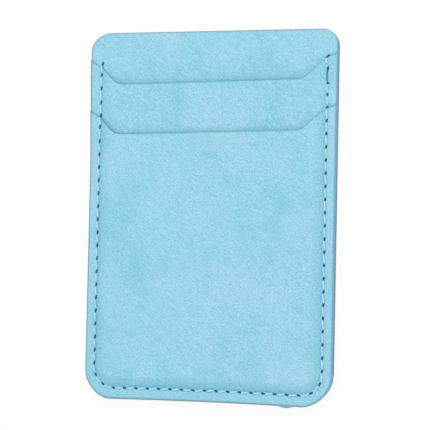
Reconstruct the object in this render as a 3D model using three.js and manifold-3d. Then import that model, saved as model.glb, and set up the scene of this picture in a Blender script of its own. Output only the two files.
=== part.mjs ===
// Stick-on card holder: two leather pockets sewn to a hemmed back panel, on an adhesive pad.
// Millimetres, +Z up. The holder lies on its adhesive pad with the mouths of the pockets towards +Y.
// The origin is the middle of the pad's adhesive face, and every layer is stacked up from there.

import * as THREE from 'three';
import { mergeGeometries, mergeVertices } from 'three/addons/utils/BufferGeometryUtils.js';
import Module from 'manifold-3d';

const wasm = await Module();
wasm.setup();

// Pattern of the holder, which the seam and everything inside it follow
const holderWidth = 66;
const holderHeight = 96.7;
const topLeftRadius = 4.75;
const topRightRadius = 4.2;
const bottomLeftRadius = 7.4;
const bottomRightRadius = 8.1;
// The sewn bottom bows in by this much at its middle
const bottomBow = 0.4;
// The edge was cut wide of the pattern: by this much all along the bottom, and at the left by an
// amount that grows from nothing over the drift's length up to a little below the top
const bottomOvercut = 0.45;
const leftOvercut = 0.7;
const overcutLength = 31;
const overcutBelowTop = 6;

// Adhesive pad, lining and stiffening board
const padThickness = 0.6;
const padInset = 5;
const padCornerRadius = 3;
const liningThickness = 0.4;
const boardThickness = 1.1;
const boardInset = 4.7;
const boardCornerRadius = 2.5;
const boardClearance = 0.3;

// Back panel: its leather is turned over at the rim, so the rim is thicker than the middle
const hemThickness = 2.1;
const rimRound = 0.3;

// Pockets: each holds one card, and stands off what lies under it by the card and its clearance
const pocketLeather = 0.5;
const cardThickness = 0.76;
const cardClearance = 0.09;
// The panels lie flat outside the seam and rise over a ramp that starts a little inside it
const seamToRamp = 0.45;
const rampWidth = 3;

// Mouths of the pockets, both cut to one pattern
const upperMouthY = 35.05;
const mouthPitch = 13.32;
const mouthTilt = THREE.MathUtils.degToRad(1.02);
const mouthFlatWidth = 50;
// The flat lies this far off the middle, and the two ears differ
const mouthFlatShift = -0.8;
const leftShoulderRise = 4.45;
const leftEarWidth = 2.6;
const leftEarAngle = THREE.MathUtils.degToRad(33);
const rightShoulderRise = 5.6;
const rightEarWidth = 2.4;
const rightEarAngle = THREE.MathUtils.degToRad(20);
const mouthCornerReach = 1.4;

// Seam: a needle thread above and a bobbin thread below, locked in slits punched through all layers
const seamInset = 2.5;
const seamCornerRadius = 5.6;
const firstSlitAboveEar = 1.1;
const lastSlitAboveEar = 0.35;
const sideStitchEnd = 8.95;
const bottomLeftStitchEnd = 7.97;
const bottomRightStitchEnd = 8.45;
const leftStitches = 23;
const cornerStitches = 3;
const bottomStitches = 16;
const rightStitches = 24;
const slitLength = 1.26;
const slitWidth = 0.68;
const slitSlant = THREE.MathUtils.degToRad(-10);
const needleThreadRadius = 0.22;
const bobbinThreadRadius = 0.18;
const threadClearance = 0.1;
// The two threads meet this far up through the lining and the back panel
const lockHeight = 1;
const lockGap = 0.25;

// A bead of dried edge paint on the front panel's bottom edge
const beadX = 21.2;
const beadLength = 2.8;
const beadDepth = 1.1;
const beadProud = 0.38;

// How finely curves are cut into facets
const cornerFacets = 6;
const bowFacets = 6;
const sideFacets = 12;
const rampFacets = 4;
const mouthCornerFacets = 3;
const needleThreadSides = 5;
const bobbinThreadSides = 4;

// Heights worked out from the layers
const liningUnder = padThickness;
const liningTop = liningUnder + liningThickness;
const backTop = liningTop + hemThickness;
const upperMarginTop = backTop + pocketLeather;
const lowerMarginTop = upperMarginTop + pocketLeather;
const cardGap = cardThickness + cardClearance;
const lowerMouthY = upperMouthY - mouthPitch;
const seamX = holderWidth / 2 - seamInset;
const seamY = holderHeight / 2 - seamInset;
// Cutters reach past the leather by this much
const cutterOver = 2;

// Moves a point of the pattern to where it lies on the real holder: up by the bow, which fades out
// by mid height, and outside the seam also outwards by the share of the overcut that it has there
function asCut(point) {
  const across = 1 - (2 * point.x / holderWidth) ** 2;
  const down = THREE.MathUtils.clamp(-2 * point.y / holderHeight, 0, 1);
  const pastLeftSeam = THREE.MathUtils.clamp((-point.x - seamX) / seamInset, 0, 1);
  const pastBottomSeam = THREE.MathUtils.clamp((-point.y - seamY) / seamInset, 0, 1);
  const overcutTop = holderHeight / 2 - overcutBelowTop;
  const grown = THREE.MathUtils.smoothstep(point.y, overcutTop - overcutLength, overcutTop);
  return new THREE.Vector2(
    point.x - leftOvercut * grown * pastLeftSeam,
    point.y + bottomBow * across * down - bottomOvercut * pastBottomSeam,
  );
}

function arc(centreX, centreY, radius, startQuarter) {
  return Array.from({ length: cornerFacets + 1 }, (_, i) => {
    const angle = (startQuarter + i / cornerFacets) * Math.PI / 2;
    return new THREE.Vector2(centreX + radius * Math.cos(angle), centreY + radius * Math.sin(angle));
  });
}

function between(start, end, facets) {
  return Array.from({ length: facets - 1 }, (_, i) => start.clone().lerp(end, (i + 1) / facets));
}

// The holder's outline moved inwards by inset, counter-clockwise from the bottom right corner.
// Above, it runs on past the top by overTop, for a blank that is trimmed at its mouth.
function outline(inset, radii, overTop = 0) {
  const { topLeft, topRight, bottomLeft, bottomRight } = radii;
  const x = holderWidth / 2 - inset;
  const low = inset - holderHeight / 2;
  const high = holderHeight / 2 - inset + overTop;
  const leftArc = arc(topLeft - x, high - topLeft, topLeft, 1);
  const bottomArc = arc(bottomLeft - x, low + bottomLeft, bottomLeft, 2);
  const rightArc = arc(x - bottomRight, low + bottomRight, bottomRight, 3);
  return [
    ...rightArc,
    ...arc(x - topRight, high - topRight, topRight, 0),
    ...leftArc,
    ...between(leftArc.at(-1), bottomArc[0], sideFacets),
    ...bottomArc,
    ...between(bottomArc.at(-1), rightArc[0], bowFacets),
  ].map(asCut);
}

function evenCorners(radius) {
  return { topLeft: radius, topRight: radius, bottomLeft: radius, bottomRight: radius };
}

// Corners of the holder's own outline at an inset
function holderCorners(inset) {
  return {
    topLeft: topLeftRadius - inset,
    topRight: topRightRadius - inset,
    bottomLeft: bottomLeftRadius - inset,
    bottomRight: bottomRightRadius - inset,
  };
}

// Closed body through rings of equal count, each counter-clockwise about the way they are stacked.
// The flat outlines triangulate the two ends.
function loft(rings, firstFlat, lastFlat) {
  const count = rings[0].length;
  const index = [];
  for (let ring = 0; ring + 1 < rings.length; ring += 1) {
    for (let k = 0; k < count; k += 1) {
      const a = ring * count + k;
      const b = ring * count + (k + 1) % count;
      index.push(a, b, b + count, a, b + count, a + count);
    }
  }
  for (const [a, b, c] of THREE.ShapeUtils.triangulateShape(firstFlat, [])) {
    index.push(a, c, b);
  }
  const last = (rings.length - 1) * count;
  for (const [a, b, c] of THREE.ShapeUtils.triangulateShape(lastFlat, [])) {
    index.push(last + a, last + b, last + c);
  }
  const geometry = new THREE.BufferGeometry();
  geometry.setAttribute('position', new THREE.Float32BufferAttribute(rings.flat().flatMap((p) => [...p]), 3));
  geometry.setIndex(index);
  return geometry;
}

function raised(points, z) {
  return points.map((p) => new THREE.Vector3(p.x, p.y, z));
}

function slab(points, under, thickness) {
  const geometry = new THREE.ExtrudeGeometry(new THREE.Shape(points), { depth: thickness, bevelEnabled: false });
  return geometry.translate(0, 0, under);
}

// Bodies for cutting and joining
function solidOf(geometry) {
  const bare = geometry.clone();
  bare.deleteAttribute('normal');
  bare.deleteAttribute('uv');
  const merged = mergeVertices(bare);
  return new wasm.Manifold(new wasm.Mesh({
    numProp: 3,
    vertProperties: merged.attributes.position.array,
    triVerts: new Uint32Array(merged.index.array),
  }));
}

function geometryOf(solid) {
  const mesh = solid.getMesh();
  const geometry = new THREE.BufferGeometry();
  geometry.setAttribute('position', new THREE.Float32BufferAttribute(mesh.vertProperties, 3));
  geometry.setIndex([...mesh.triVerts]);
  geometry.computeVertexNormals();
  return geometry;
}

// Mouth of a pocket, from beyond its left edge to beyond its right one: ears at the seams, then
// diagonals down to a long flat, with every corner eased by a curve and the whole line tilted.
function mouthLine(mouthY) {
  const halfWidth = holderWidth / 2;
  const leftEarRise = (cutterOver + leftEarWidth) * Math.tan(leftEarAngle);
  const rightEarRise = (cutterOver + rightEarWidth) * Math.tan(rightEarAngle);
  const route = [
    [-halfWidth - cutterOver, leftShoulderRise + leftEarRise],
    [leftEarWidth - halfWidth, leftShoulderRise],
    [mouthFlatShift - mouthFlatWidth / 2, 0],
    [mouthFlatShift + mouthFlatWidth / 2, 0],
    [halfWidth - rightEarWidth, rightShoulderRise],
    [halfWidth + cutterOver, rightShoulderRise + rightEarRise],
  ].map(([x, rise]) => new THREE.Vector2(x, mouthY + rise));
  const path = new THREE.Path();
  path.moveTo(route[0].x, route[0].y);
  for (let i = 1; i + 1 < route.length; i += 1) {
    const before = route[i - 1].clone().sub(route[i]).setLength(mouthCornerReach).add(route[i]);
    const after = route[i + 1].clone().sub(route[i]).setLength(mouthCornerReach).add(route[i]);
    path.lineTo(before.x, before.y);
    path.quadraticCurveTo(route[i].x, route[i].y, after.x, after.y);
  }
  path.lineTo(route.at(-1).x, route.at(-1).y);
  return path.getPoints(mouthCornerFacets)
    .map((p) => new THREE.Vector2(p.x, p.y + p.x * Math.tan(mouthTilt)));
}

function heightOnLine(line, x) {
  const next = line.findIndex((p) => p.x > x);
  const [a, b] = [line[next - 1], line[next]];
  return a.y + (b.y - a.y) * (x - a.x) / (b.x - a.x);
}

const upperMouth = mouthLine(upperMouthY);
const lowerMouth = mouthLine(lowerMouthY);

// Seam: down the left side, round the bottom and up the right side
const seamTopLeft = heightOnLine(upperMouth, -seamX) + firstSlitAboveEar;
const seamTopRight = heightOnLine(upperMouth, seamX) + lastSlitAboveEar;
const seam = new THREE.Path();
seam.moveTo(-seamX, seamTopLeft);
seam.lineTo(-seamX, seamCornerRadius - seamY);
seam.absarc(seamCornerRadius - seamX, seamCornerRadius - seamY, seamCornerRadius, Math.PI, 1.5 * Math.PI);
seam.lineTo(seamX - seamCornerRadius, -seamY);
seam.absarc(seamX - seamCornerRadius, seamCornerRadius - seamY, seamCornerRadius, 1.5 * Math.PI, 2 * Math.PI);
seam.lineTo(seamX, seamTopRight);
const seamLength = seam.getLength();

// Lengths of seam on each side: the corner stitches start short of the corners
const sideEndY = sideStitchEnd - holderHeight / 2;
const leftRun = seamTopLeft - sideEndY;
const rightRun = seamTopRight - sideEndY;
const bottomRun = holderWidth - bottomLeftStitchEnd - bottomRightStitchEnd;
const seamMiddle = (seamLength + seamTopLeft - seamTopRight) / 2;
const leftCornerRun = seamMiddle + bottomLeftStitchEnd - holderWidth / 2 - leftRun;
const rightCornerRun = seamLength - leftRun - leftCornerRun - bottomRun - rightRun;

// Distance of every slit along the seam
const slitStations = [0];
for (const [run, stitches] of [
  [leftRun, leftStitches],
  [leftCornerRun, cornerStitches],
  [bottomRun, bottomStitches],
  [rightCornerRun, cornerStitches],
  [rightRun, rightStitches],
]) {
  for (let i = 0; i < stitches; i += 1) {
    slitStations.push(slitStations.at(-1) + run / stitches);
  }
}

function onSeam(station) {
  const u = THREE.MathUtils.clamp(station / seamLength, 0, 1);
  return { at: asCut(seam.getPoint(u)), along: seam.getTangent(u) };
}

// Slits: long hexagons, turned a little off the seam's line
function slit(station) {
  const { at, along } = onSeam(station);
  const turn = along.angle() + slitSlant;
  const half = slitLength / 2;
  const side = slitWidth / 2;
  const flat = half - side;
  const corners = [[half, 0], [flat, side], [-flat, side], [-half, 0], [-flat, -side], [flat, -side]];
  return corners.map(([x, y]) => new THREE.Vector2(x, y).rotateAround(new THREE.Vector2(), turn).add(at));
}

const cutterHeight = lowerMarginTop + 2 * cardGap + 2 * cutterOver;
const slitCutter = solidOf(mergeGeometries(
  slitStations.map((station) => slab(slit(station), -cutterOver, cutterHeight)),
));

// Adhesive pad, lining and board
const padGeometry = slab(outline(padInset, evenCorners(padCornerRadius)), 0, padThickness);

const liningBlank = slab(outline(0, holderCorners(0)), liningUnder, liningThickness);
const liningGeometry = geometryOf(solidOf(liningBlank).subtract(slitCutter));

const boardGeometry = slab(outline(boardInset, evenCorners(boardCornerRadius)), liningTop, boardThickness);

// Back panel: a rounded hem all round, and a recess under its middle that holds the board
function backPanel() {
  const profile = [
    [rimRound, liningTop],
    [0, liningTop + rimRound],
    [0, backTop - rimRound],
    [rimRound, backTop],
  ];
  const flats = profile.map(([inset]) => outline(inset, holderCorners(inset)));
  const rings = profile.map(([, z], i) => raised(flats[i], z));
  const recess = slab(
    outline(boardInset - boardClearance, evenCorners(boardCornerRadius + boardClearance)),
    liningTop - cutterOver,
    boardThickness + cutterOver,
  );
  return solidOf(loft(rings, flats[0], flats.at(-1))).subtract(solidOf(recess)).subtract(slitCutter);
}

// Pocket panel: flat outside the seam, then a ramp that rounds off to a level front, cut off at its
// mouth. The ramp follows the seam, and its height is the rise times a quarter of a sine wave.
function pocketPanel(under, rise, mouth) {
  const overTop = holderHeight / 4;
  const steps = Array.from({ length: rampFacets + 1 }, (_, i) => i / rampFacets);
  const reaches = steps.map((s) => seamToRamp + s * rampWidth);
  const lifts = [0, ...steps.map((s) => rise * Math.sin(s * Math.PI / 2))];
  const flats = [
    outline(0, holderCorners(0), overTop),
    ...reaches.map((reach) => outline(seamInset + reach, evenCorners(seamCornerRadius - reach), overTop)),
  ];
  const lower = flats.map((flat, i) => raised(flat, under + lifts[i])).reverse();
  const upper = flats.map((flat, i) => raised(flat, under + lifts[i] + pocketLeather));
  const blank = solidOf(loft([...lower, ...upper], flats.at(-1), flats.at(-1)));
  const top = holderHeight / 2 + overTop + cutterOver;
  const above = [
    ...mouth,
    new THREE.Vector2(mouth.at(-1).x, top),
    new THREE.Vector2(mouth[0].x, top),
  ];
  const mouthCutter = solidOf(slab(above, 0, cutterHeight));
  return blank.subtract(mouthCutter).subtract(slitCutter);
}

// The bead is an ellipsoid half sunk in the edge of the lower pocket
function edgeBead() {
  const edgeY = asCut(new THREE.Vector2(beadX, -holderHeight / 2)).y;
  const bead = new THREE.SphereGeometry(1, 10, 6)
    .scale(beadLength / 2, beadDepth / 2, pocketLeather / 2)
    .translate(beadX, edgeY + beadDepth / 2 - beadProud, upperMarginTop + pocketLeather / 2);
  return solidOf(bead);
}

const upperPocketGeometry = geometryOf(pocketPanel(backTop, cardGap, upperMouth));
const lowerPocketGeometry = geometryOf(pocketPanel(upperMarginTop, 2 * cardGap, lowerMouth).add(edgeBead()));

// Threads: a round cord swept through points that each have the horizontal way across the seam.
// A bend's ring is stretched in the bend's plane, so that the cord keeps its width round it.
function sweep(points, radius, sides) {
  const flat = Array.from({ length: sides }, (_, k) => {
    const angle = 2 * Math.PI * (k + 0.5) / sides;
    return new THREE.Vector2(Math.cos(angle), Math.sin(angle)).multiplyScalar(radius);
  });
  const directions = points.slice(1).map((p, i) => p.at.clone().sub(points[i].at).normalize());
  const rings = points.map(({ at, across }, i) => {
    const arriving = directions[Math.max(i - 1, 0)];
    const leaving = directions[Math.min(i, directions.length - 1)];
    const tangent = arriving.clone().add(leaving).normalize();
    const stretch = 1 / tangent.dot(leaving);
    const up = tangent.clone().cross(across).normalize().multiplyScalar(stretch);
    return flat.map((p) => at.clone().addScaledVector(across, p.x).addScaledVector(up, p.y));
  });
  return loft(rings, flat, flat);
}

// Where along the seam each pocket's ears begin and end, with the leather's top there
const ears = [[upperMouth, upperMarginTop], [lowerMouth, lowerMarginTop]].map(([mouth, top]) => ({
  from: seamTopLeft - heightOnLine(mouth, -seamX),
  to: seamLength - seamTopRight + heightOnLine(mouth, seamX),
  top,
}));

// Height of the leather under the needle thread, which climbs each ear a little before its edge
function leatherTop(station) {
  const lead = needleThreadRadius + threadClearance;
  const under = ears.filter((ear) => station > ear.from - lead && station < ear.to + lead);
  return under.length ? under.at(-1).top : backTop;
}

function crossingBetween(a, b) {
  const lead = needleThreadRadius + threadClearance;
  const edges = ears.flatMap((ear) => [ear.from - lead, ear.to + lead]);
  return edges.find((edge) => edge > a && edge < b);
}

// One continuous thread: over the leather from slit to slit, and down and up again in each slit.
// outside(station) is the height of its middle line on the leather, inside the one in the slits.
function thread(outside, inside, radius, sides) {
  const leg = slitLength / 4 - threadClearance / 2;
  const points = [];
  const place = (station, offset, slant, z) => {
    const { at, along } = onSeam(station);
    const way = along.clone().rotateAround(new THREE.Vector2(), slant);
    const spot = at.clone().addScaledVector(way, offset);
    points.push({ at: new THREE.Vector3(spot.x, spot.y, z), across: new THREE.Vector3(-way.y, way.x, 0) });
  };
  slitStations.forEach((station, i) => {
    if (i > 0) {
      place(station, -leg, slitSlant, outside(station - leg));
      place(station, -leg, slitSlant, inside);
    }
    if (i + 1 < slitStations.length) {
      const next = slitStations[i + 1];
      const start = station + leg;
      const end = next - leg;
      const middle = crossingBetween(start, end) ?? (start + end) / 2;
      place(station, leg, slitSlant, inside);
      place(station, leg, slitSlant, outside(start));
      place(middle, 0, 0, Math.max(outside(middle - threadClearance), outside(middle + threadClearance)));
    }
  });
  return sweep(points, radius, sides);
}

const lockZ = liningUnder + lockHeight;
const needleThreadGeometry = thread(
  (station) => leatherTop(station) + needleThreadRadius + threadClearance,
  lockZ + lockGap / 2 + needleThreadRadius,
  needleThreadRadius,
  needleThreadSides,
);
const bobbinThreadGeometry = thread(
  () => liningUnder - bobbinThreadRadius - threadClearance,
  lockZ - lockGap / 2 - bobbinThreadRadius,
  bobbinThreadRadius,
  bobbinThreadSides,
);

// Finishes
const finishes = {
  leather: { color: 0x9ad2e4, roughness: 0.55, metalness: 0 },
  thread: { color: 0xcdeef6, roughness: 0.6, metalness: 0 },
  lining: { color: 0x7b8ea6, roughness: 0.9, metalness: 0 },
  board: { color: 0xb9ad9a, roughness: 0.95, metalness: 0 },
  pad: { color: 0xe6e7e3, roughness: 0.5, metalness: 0 },
};

const holder = new THREE.Group();
for (const [name, geometry, finish] of [
  ['adhesive_pad', padGeometry, finishes.pad],
  ['back_lining', liningGeometry, finishes.lining],
  ['stiffener_board', boardGeometry, finishes.board],
  ['back_panel', geometryOf(backPanel()), finishes.leather],
  ['upper_pocket', upperPocketGeometry, finishes.leather],
  ['lower_pocket', lowerPocketGeometry, finishes.leather],
  ['needle_thread', needleThreadGeometry, finishes.thread],
  ['bobbin_thread', bobbinThreadGeometry, finishes.thread],
]) {
  const mesh = new THREE.Mesh(geometry, new THREE.MeshStandardMaterial(finish));
  mesh.name = name;
  holder.add(mesh);
}

export default holder;
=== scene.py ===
"""Looks of the stick-on card holder: pored blue leather, lockstitch seam, lining and adhesive pad.

Lengths in this script are millimetres unless a name says otherwise; meshes are written in metres.
"""

import math

import bmesh
import bpy
import numpy as np
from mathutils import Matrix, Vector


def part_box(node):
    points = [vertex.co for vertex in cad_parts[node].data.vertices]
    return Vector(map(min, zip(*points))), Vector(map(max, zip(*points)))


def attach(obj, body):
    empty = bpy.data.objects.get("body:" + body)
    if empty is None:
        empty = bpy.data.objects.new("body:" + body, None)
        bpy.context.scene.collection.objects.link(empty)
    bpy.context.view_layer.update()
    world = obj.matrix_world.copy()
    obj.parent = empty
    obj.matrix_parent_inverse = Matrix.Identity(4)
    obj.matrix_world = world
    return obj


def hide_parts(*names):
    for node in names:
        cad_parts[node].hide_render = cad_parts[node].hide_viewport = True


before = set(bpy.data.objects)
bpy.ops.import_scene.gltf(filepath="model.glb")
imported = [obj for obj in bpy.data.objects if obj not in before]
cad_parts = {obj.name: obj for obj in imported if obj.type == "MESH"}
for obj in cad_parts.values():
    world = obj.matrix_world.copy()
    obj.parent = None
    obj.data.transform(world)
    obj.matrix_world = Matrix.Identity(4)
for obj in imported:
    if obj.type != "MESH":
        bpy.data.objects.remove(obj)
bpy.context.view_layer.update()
MM = 0.001


def node_box(node):
    """Lowest and highest corner of a CAD node, in millimetres."""
    low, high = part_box(node)
    return np.array(low) / MM, np.array(high) / MM


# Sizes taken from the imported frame
LINING_LOW, LINING_HIGH = node_box("back_lining")
BACK_LOW, BACK_HIGH = node_box("back_panel")
UPPER_LOW, UPPER_HIGH = node_box("upper_pocket")
LOWER_LOW, LOWER_HIGH = node_box("lower_pocket")
BOARD_HIGH = node_box("stiffener_board")[1]
HALF_WIDTH = float(LINING_HIGH[0])
HALF_HEIGHT = float(LINING_HIGH[1])
LINING_UNDER = float(LINING_LOW[2])
BACK_UNDER = float(BACK_LOW[2])
BACK_TOP = float(BACK_HIGH[2])
LEATHER = float(LOWER_LOW[2] - UPPER_LOW[2])
UPPER_RISE = float(UPPER_HIGH[2] - UPPER_LOW[2]) - LEATHER
LOWER_RISE = float(LOWER_HIGH[2] - LOWER_LOW[2]) - LEATHER
UPPER_TOP = BACK_TOP + LEATHER
BOARD_TOP = float(BOARD_HIGH[2])

# Outline, seam and mouths, as the construction has them
TOP_LEFT_CORNER = 4.75
TOP_RIGHT_CORNER = 4.2
BOTTOM_LEFT_CORNER = 7.4
BOTTOM_RIGHT_CORNER = 8.1
BOTTOM_BOW = 0.4
BOTTOM_OVERCUT = 0.45
LEFT_OVERCUT = 0.7
OVERCUT_LENGTH = 31
OVERCUT_BELOW_TOP = 6
BOARD_INSET = 4.7
BOARD_CLEARANCE = 0.3
SEAM_INSET = 2.5
SEAM_CORNER = 5.6
CORNER_SIZE = SEAM_CORNER + SEAM_INSET
SEAM_X = HALF_WIDTH - SEAM_INSET
SEAM_Y = HALF_HEIGHT - SEAM_INSET
SEAM_TO_RAMP = 0.45
RAMP_INSET = SEAM_INSET + SEAM_TO_RAMP
RAMP_WIDTH = 3
MOUTH_PITCH = 13.32
UPPER_MOUTH = 35.05
LOWER_MOUTH = UPPER_MOUTH - MOUTH_PITCH
MOUTH_TILT = math.tan(math.radians(1.02))
MOUTH_HALF_FLAT = 25
MOUTH_FLAT_SHIFT = -0.8
LEFT_SHOULDER = 4.45
LEFT_EAR_WIDTH = 2.6
LEFT_EAR_SLOPE = math.tan(math.radians(33))
RIGHT_SHOULDER = 5.6
RIGHT_EAR_WIDTH = 2.4
RIGHT_EAR_SLOPE = math.tan(math.radians(20))
MOUTH_CORNER = 1.4
PAST_EDGE = 2
FIRST_SLIT_ABOVE_EAR = 1.1
LAST_SLIT_ABOVE_EAR = 0.35
SIDE_STITCH_END = 8.95
BOTTOM_LEFT_STITCH_END = 7.97
BOTTOM_RIGHT_STITCH_END = 8.45
STITCHES = {"left": 23, "corner": 3, "bottom": 16, "right": 24}

# Looks of the seam: slits are slanted ellipses that differ a little
SLIT_SLANT = math.radians(-10)
SLIT_HALF_LENGTH = 0.64
SLIT_HALF_WIDTH = 0.27
SLIT_DEPTH = 0.4
NEEDLE_RADIUS = 0.23
BOBBIN_RADIUS = 0.19
# The thread's end was tucked away at the right: one stitch is pulled down into a groove with a hook
# at its lower end, and the last slit is torn aslant
SUNK_STITCH = 67
LAST_SLIT_SLANT = math.radians(-40)
LAST_SLIT_HALF_LENGTH = 0.72
LAST_SLIT_SHIFT = (-0.12, -0.25)

# Numbers of the slits that lie unevenly, with their shifts along the seam
UNEVEN_SLITS = ((1, -0.5), (2, -0.35), (5, -0.4), (SUNK_STITCH, -0.45))
# Distances, in slit radii, between which a slit's edge fades, and up to which the leather is drawn in
SLIT_FADE = (0.8, 1.08)
SEWN_REACH = 8
# Leather beside the seam, and the sunk stitch's groove with its hook
TROUGH_DEPTH = 0.07
TROUGH_WIDTH = 0.4
PUCKER_DEPTH = 0.09
PUCKER_REACH = 1.9
SWELL_HEIGHT = 0.025
SWELL_OFF_SEAM = 0.9
GROOVE_DEPTH = 0.3
GROOVE_SWAY = 0.2
GROOVE_WIDTH = 0.2
HOOK_OFFSET = 0.12
HOOK_HALF_WIDTH = 0.42
HOOK_HEIGHT = 0.2

# Rounding of the leather's cut edges
RIM_ROUND = 0.32
LIP_ROUND = 0.2
UNDER_ROUND = 0.08


def smoothstep(low, high, value):
    """0 below low, 1 above high, and 3t squared less 2t cubed between them."""
    t = np.clip((value - low) / (high - low), 0, 1)
    return t * t * (3 - 2 * t)


def bow(x, y):
    """Upward shift of the bottom: BOTTOM_BOW times a parabola across, fading out by mid height."""
    across = 1 - (x / HALF_WIDTH) ** 2
    return BOTTOM_BOW * across * np.clip(-y / HALF_HEIGHT, 0, 1)


def left_overcut(y):
    """Widening of the left edge: LEFT_OVERCUT times a smooth step up to a little below the top."""
    top = HALF_HEIGHT - OVERCUT_BELOW_TOP
    return LEFT_OVERCUT * smoothstep(top - OVERCUT_LENGTH, top, y)


def as_cut(x, y):
    """Where a point of the pattern lies on the holder: bowed, and stretched out past the seam.

    The stretch grows linearly from 0 at the seam to the full overcut at the edge.
    """
    past_left = np.clip((-x - SEAM_X) / SEAM_INSET, 0, 1)
    past_bottom = np.clip((-y - SEAM_Y) / SEAM_INSET, 0, 1)
    return x - left_overcut(y) * past_left, y + bow(x, y) - BOTTOM_OVERCUT * past_bottom


def as_pattern(x, y):
    """Inverse of as_cut: takes out the bow and divides the stretch past the seam out again."""
    level = y - bow(x, y)
    past_left = np.maximum(-x - SEAM_X, 0)
    past_bottom = np.maximum(-level - SEAM_Y, 0)
    widened = left_overcut(y)
    return (x + past_left * widened / (SEAM_INSET + widened),
            level + past_bottom * BOTTOM_OVERCUT / (SEAM_INSET + BOTTOM_OVERCUT))


def mouth_height(x, mouth):
    """Height of a pocket's mouth at x: a flat, diagonals and ears joined by parabolas, then tilted."""
    route = np.array([
        [-HALF_WIDTH - PAST_EDGE, LEFT_SHOULDER + (LEFT_EAR_WIDTH + PAST_EDGE) * LEFT_EAR_SLOPE],
        [LEFT_EAR_WIDTH - HALF_WIDTH, LEFT_SHOULDER],
        [MOUTH_FLAT_SHIFT - MOUTH_HALF_FLAT, 0],
        [MOUTH_FLAT_SHIFT + MOUTH_HALF_FLAT, 0],
        [HALF_WIDTH - RIGHT_EAR_WIDTH, RIGHT_SHOULDER],
        [HALF_WIDTH + PAST_EDGE, RIGHT_SHOULDER + (RIGHT_EAR_WIDTH + PAST_EDGE) * RIGHT_EAR_SLOPE],
    ])
    points = [route[0]]
    t = np.linspace(0, 1, 9)[:, None]
    for before, corner, after in zip(route, route[1:], route[2:]):
        a = corner + (before - corner) / np.linalg.norm(before - corner) * MOUTH_CORNER
        b = corner + (after - corner) / np.linalg.norm(after - corner) * MOUTH_CORNER
        points.extend((1 - t) ** 2 * a + 2 * t * (1 - t) * corner + t ** 2 * b)
    points.append(route[-1])
    line = np.array(points)
    return mouth + np.interp(x, line[:, 0], line[:, 1]) + x * MOUTH_TILT


SEAM_TOP_LEFT = float(mouth_height(-SEAM_X, UPPER_MOUTH)) + FIRST_SLIT_ABOVE_EAR
SEAM_TOP_RIGHT = float(mouth_height(SEAM_X, UPPER_MOUTH)) + LAST_SLIT_ABOVE_EAR
# Stations along the sewing line at which the left corner, the bottom, the right corner and the right
# side begin
LEFT_LENGTH = SEAM_TOP_LEFT + HALF_HEIGHT - CORNER_SIZE
BOTTOM_START = LEFT_LENGTH + SEAM_CORNER * math.pi / 2
BOTTOM_END = BOTTOM_START + 2 * (HALF_WIDTH - CORNER_SIZE)
RIGHT_START = BOTTOM_END + SEAM_CORNER * math.pi / 2
SEAM_LENGTH = RIGHT_START + SEAM_TOP_RIGHT + HALF_HEIGHT - CORNER_SIZE


def pattern_point(station, inset):
    """Point of the pattern at a station along the sewing line, inset mm in from the outline.

    Straight sides run parallel to the seam. The two corners are arcs about the seam's own centres
    inside the seam, and outside it their size goes over linearly to that of the outline's corners.
    """
    s, d = np.broadcast_arrays(np.asarray(station, float), np.asarray(inset, float))
    outside = 1 - np.clip(d / SEAM_INSET, 0, 1)
    left = CORNER_SIZE + (BOTTOM_LEFT_CORNER - CORNER_SIZE) * outside
    right = CORNER_SIZE + (BOTTOM_RIGHT_CORNER - CORNER_SIZE) * outside
    left_angle = math.pi + (s - LEFT_LENGTH) / SEAM_CORNER
    right_angle = 1.5 * math.pi + (s - BOTTOM_END) / SEAM_CORNER
    stretches = [s < LEFT_LENGTH, s < BOTTOM_START, s < BOTTOM_END, s < RIGHT_START]
    x = np.select(stretches, [
        d - HALF_WIDTH,
        left - HALF_WIDTH + (left - d) * np.cos(left_angle),
        s - BOTTOM_START - (HALF_WIDTH - CORNER_SIZE),
        HALF_WIDTH - right + (right - d) * np.cos(right_angle),
    ], HALF_WIDTH - d)
    y = np.select(stretches, [
        SEAM_TOP_LEFT - s,
        left - HALF_HEIGHT + (left - d) * np.sin(left_angle),
        d - HALF_HEIGHT,
        right - HALF_HEIGHT + (right - d) * np.sin(right_angle),
    ], s - RIGHT_START - (HALF_HEIGHT - CORNER_SIZE))
    return x, y


def beside_seam(station, inset):
    """The same point on the holder."""
    return as_cut(*pattern_point(station, inset))


def slit_stations():
    """Stations of all slits: even on each side and round each corner, then the shifts added."""
    middle = (BOTTOM_START + BOTTOM_END) / 2
    turns = [
        0,
        SEAM_TOP_LEFT + HALF_HEIGHT - SIDE_STITCH_END,
        middle - HALF_WIDTH + BOTTOM_LEFT_STITCH_END,
        middle + HALF_WIDTH - BOTTOM_RIGHT_STITCH_END,
        SEAM_LENGTH - (SEAM_TOP_RIGHT + HALF_HEIGHT - SIDE_STITCH_END),
        SEAM_LENGTH,
    ]
    sides = ["left", "corner", "bottom", "corner", "right"]
    runs = [np.linspace(a, b, STITCHES[side] + 1)[1:] for a, b, side in zip(turns, turns[1:], sides)]
    stations = np.concatenate([[0], *runs])
    for number, shift in UNEVEN_SLITS:
        stations[number] += shift
    return stations


SLITS = slit_stations()


def way_along(station):
    """Unit vector of the sewing direction, by central differences."""
    ahead = np.stack(beside_seam(station + 0.01, SEAM_INSET), -1)
    behind = np.stack(beside_seam(station - 0.01, SEAM_INSET), -1)
    return (ahead - behind) / np.linalg.norm(ahead - behind, axis=-1, keepdims=True)


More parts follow.
